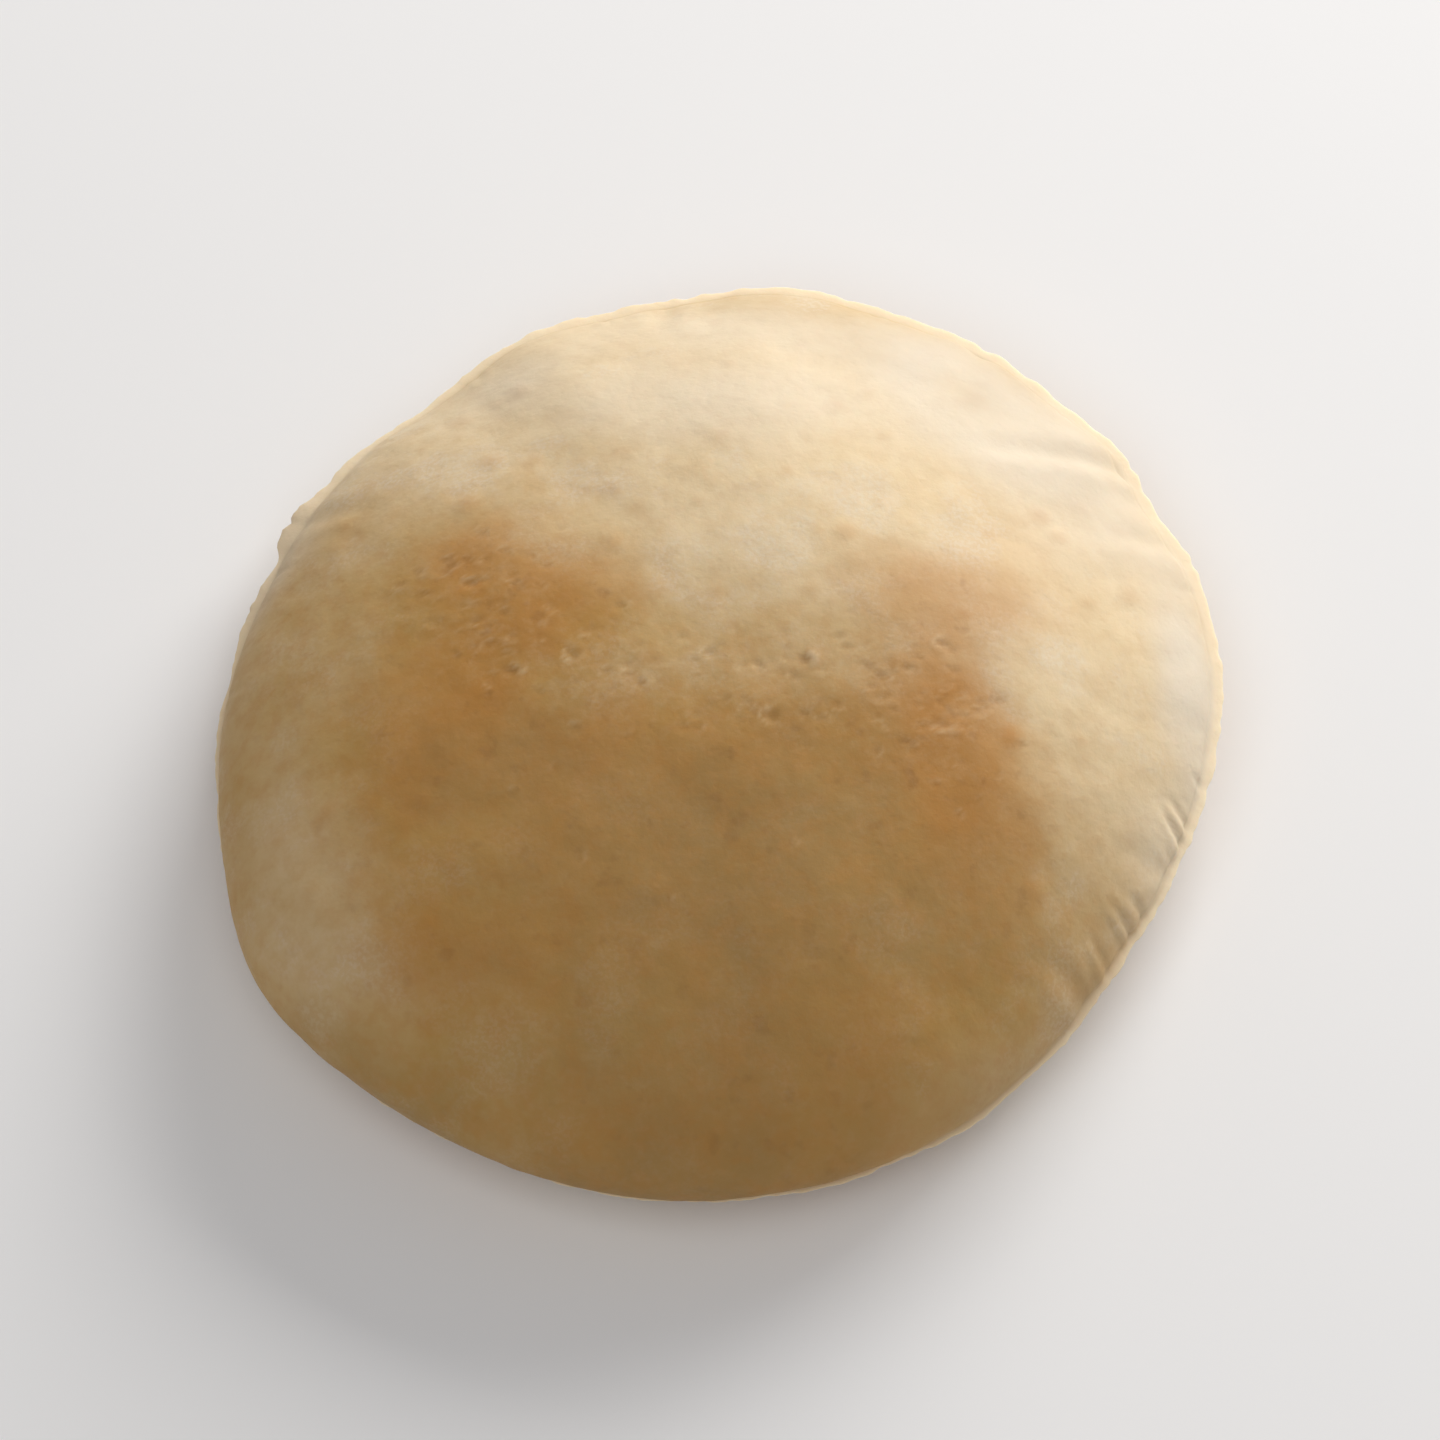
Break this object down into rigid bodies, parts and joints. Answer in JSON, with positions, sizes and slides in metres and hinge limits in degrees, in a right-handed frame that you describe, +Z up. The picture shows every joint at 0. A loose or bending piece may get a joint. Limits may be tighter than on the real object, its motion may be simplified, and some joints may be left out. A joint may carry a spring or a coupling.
{
  "type": "pita bread",
  "caption": "Round of puffed pocket flatbread, lying on its flat underside, with a thin seam between crown and underside.",
  "frame": {"origin": "on the table, under the middle of the round's outline", "axes": "+Z up through the crown, +X to the right and +Y away as the picture shows the round"},
  "size_m": [0.1506, 0.1546, 0.0414],
  "materials": {
    "crust": "matte floured baked crust, pale at the rim and toasted in patches"
  },
  "bodies": {
    "root": {"pita": "crust"}
  },
  "joints": []
}
